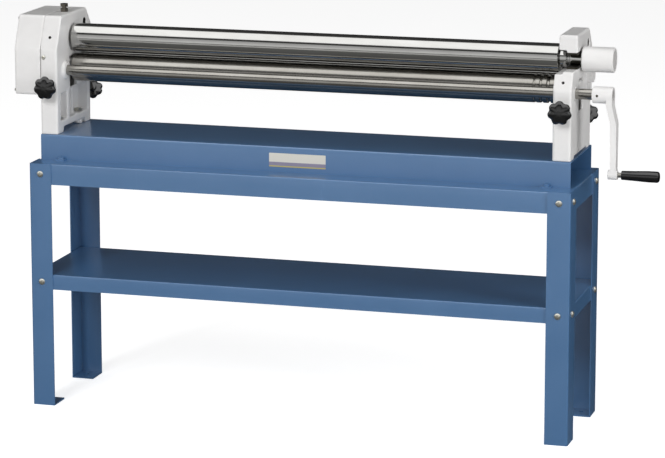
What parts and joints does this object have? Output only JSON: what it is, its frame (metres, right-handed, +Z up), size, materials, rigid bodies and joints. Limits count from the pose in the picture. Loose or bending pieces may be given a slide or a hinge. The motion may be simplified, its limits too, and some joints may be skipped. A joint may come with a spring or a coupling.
{
  "type": "slip roll machine",
  "caption": "Hand-cranked slip roll with chromed rolls between cast heads, adjusting knobs and a gear cover, on a blue sheet metal stand with a shelf.",
  "frame": {"origin": "middle of the four floor anchor holes, at floor level", "axes": "+X along the rolls towards the crank, +Y from the front to the back, +Z up"},
  "size_m": [1.736, 0.4219, 1.064],
  "materials": {
    "stand_paint": "smooth grey-blue powder coat",
    "cast_enamel": "off-white enamel on cast iron",
    "sleeve_enamel": "smooth off-white enamel",
    "roll_chrome": "ground and polished steel",
    "bare_steel": "machined, lightly oiled",
    "liner_steel": "dark, oiled",
    "bush_bronze": "sintered bronze",
    "zinc_fastener": "zinc plated",
    "black_plastic": "glossy moulded black"
  },
  "bodies": {
    "stand": {"leg_front_left": "stand_paint", "leg_front_right": "stand_paint", "leg_rear_left": "stand_paint", "leg_rear_right": "stand_paint", "table_top": "stand_paint", "shelf": "stand_paint", "stand_bolts": "zinc_fastener", "stand_nuts": "zinc_fastener", "base_channel": "stand_paint", "base_bolts": "stand_paint", "base_nuts": "zinc_fastener", "left_head": "cast_enamel", "right_head": "cast_enamel", "head_bolts": "zinc_fastener", "head_nuts": "zinc_fastener", "gear_cover": "cast_enamel", "cover_screws": "zinc_fastener", "seam_screw": "zinc_fastener", "swivel_plug": "cast_enamel", "swivel_bolt": "zinc_fastener", "swivel_locknut": "zinc_fastener", "journal_liner": "liner_steel", "shaft_bush_left": "bush_bronze", "shaft_bush_right": "bush_bronze", "idler_pin": "bare_steel", "gear_spindle": "bare_steel"},
    "crank": {"crank_shaft": "roll_chrome", "drive_pinion": "bare_steel", "crank_arm": "cast_enamel", "crank_set_screw": "black_plastic", "grip_pin": "bare_steel"},
    "grip": {"crank_grip": "black_plastic"},
    "idler": {"idler_gear": "bare_steel"},
    "gear_cluster": {"drive_wheel": "bare_steel", "upper_gear": "bare_steel"},
    "swivel": {"swivel_block": "bare_steel"},
    "upper_roll_body": {"upper_roll": "roll_chrome", "sleeve_screw": "zinc_fastener"},
    "sleeve": {"hand_sleeve": "sleeve_enamel"},
    "lower_carriage": {"lower_block_left": "cast_enamel", "lower_block_right": "cast_enamel"},
    "lower_roll_body": {"lower_roll": "roll_chrome", "lower_gear": "bare_steel"},
    "left_wedge": {"wedge_left": "bare_steel"},
    "right_wedge": {"wedge_right": "bare_steel"},
    "left_front_knob": {"front_screw_left": "bare_steel", "front_knob_left": "black_plastic"},
    "right_front_knob": {"front_screw_right": "bare_steel", "front_knob_right": "black_plastic"},
    "rear_carriage": {"rear_block_left": "cast_enamel", "rear_block_right": "cast_enamel"},
    "rear_roll_body": {"rear_roll": "roll_chrome"},
    "left_rear_knob": {"rear_screw_left": "bare_steel", "rear_knob_left": "black_plastic"},
    "right_rear_knob": {"rear_screw_right": "bare_steel", "rear_knob_right": "black_plastic"}
  },
  "joints": [
    {"name": "crank_turn", "type": "hinge", "parent": "stand", "child": "crank", "pos_m": [-0.0045, -0.052, 0.894], "axis": [1, 0, 0], "continuous": true},
    {"name": "grip_spin", "type": "hinge", "parent": "crank", "child": "grip", "pos_m": [0.8855, -0.052, 0.689], "axis": [1, 0, 0], "continuous": true},
    {"name": "idler_spin", "type": "hinge", "parent": "stand", "child": "idler", "pos_m": [-0.7595, -0.06236, 0.94087], "axis": [1, 0, 0], "continuous": true},
    {"name": "train_turn", "type": "hinge", "parent": "stand", "child": "gear_cluster", "pos_m": [-0.7545, 0.01, 0.975], "axis": [1, 0, 0], "continuous": true},
    {"name": "upper_swing", "type": "hinge", "parent": "stand", "child": "swivel", "pos_m": [-0.7005, 0.01, 0.975], "axis": [0, 0, -1], "range_deg": [0, 4]},
    {"name": "upper_roll_turn", "type": "hinge", "parent": "swivel", "child": "upper_roll_body", "pos_m": [-0.0045, 0.01, 0.975], "axis": [1, 0, 0], "continuous": true},
    {"name": "sleeve_spin", "type": "hinge", "parent": "upper_roll_body", "child": "sleeve", "pos_m": [0.7615, 0.01, 0.975], "axis": [1, 0, 0], "continuous": true},
    {"name": "lower_lift", "type": "slide", "parent": "stand", "child": "lower_carriage", "axis": [0, 0, 1], "range_m": [0, 0.0055]},
    {"name": "lower_roll_turn", "type": "hinge", "parent": "lower_carriage", "child": "lower_roll_body", "pos_m": [-0.0045, 0.01, 0.894], "axis": [1, 0, 0], "continuous": true},
    {"name": "left_wedge_slide", "type": "slide", "parent": "stand", "child": "left_wedge", "axis": [0, 1, 0], "range_m": [0, 0.0165]},
    {"name": "right_wedge_slide", "type": "slide", "parent": "stand", "child": "right_wedge", "axis": [0, 1, 0], "range_m": [0, 0.0165]},
    {"name": "left_front_knob_turn", "type": "hinge", "parent": "left_wedge", "child": "left_front_knob", "pos_m": [-0.7005, -0.14, 0.857], "axis": [0, 1, 0], "range_deg": [0, 2971]},
    {"name": "right_front_knob_turn", "type": "hinge", "parent": "right_wedge", "child": "right_front_knob", "pos_m": [0.6915, -0.14, 0.857], "axis": [0, 1, 0], "range_deg": [0, 2971]},
    {"name": "rear_lift", "type": "slide", "parent": "stand", "child": "rear_carriage", "axis": [0, -0.6428, 0.766], "range_m": [0, 0.032]},
    {"name": "rear_roll_spin", "type": "hinge", "parent": "rear_carriage", "child": "rear_roll_body", "pos_m": [-0.0045, 0.105, 0.922], "axis": [1, 0, 0], "continuous": true},
    {"name": "left_rear_knob_turn", "type": "hinge", "parent": "rear_carriage", "child": "left_rear_knob", "pos_m": [-0.7005, 0.20977, 0.79714], "axis": [0, -0.6428, 0.766], "range_deg": [0, 5761]},
    {"name": "right_rear_knob_turn", "type": "hinge", "parent": "rear_carriage", "child": "right_rear_knob", "pos_m": [0.6915, 0.20977, 0.79714], "axis": [0, -0.6428, 0.766], "range_deg": [0, 5761]}
  ],
  "couplings": [
    {"joint": "crank_turn", "follows": "upper_roll_turn", "ratio": 2.3333},
    {"joint": "idler_spin", "follows": "upper_roll_turn", "ratio": -2.3333},
    {"joint": "train_turn", "follows": "upper_roll_turn", "ratio": 1},
    {"joint": "lower_roll_turn", "follows": "upper_roll_turn", "ratio": -1},
    {"joint": "left_wedge_slide", "follows": "lower_lift", "ratio": 3},
    {"joint": "right_wedge_slide", "follows": "lower_lift", "ratio": 3},
    {"joint": "left_front_knob_turn", "follows": "lower_lift", "rad_per_m": 9424.8},
    {"joint": "right_front_knob_turn", "follows": "lower_lift", "rad_per_m": 9424.8},
    {"joint": "left_rear_knob_turn", "follows": "rear_lift", "rad_per_m": 3141.6},
    {"joint": "right_rear_knob_turn", "follows": "rear_lift", "rad_per_m": 3141.6}
  ]
}
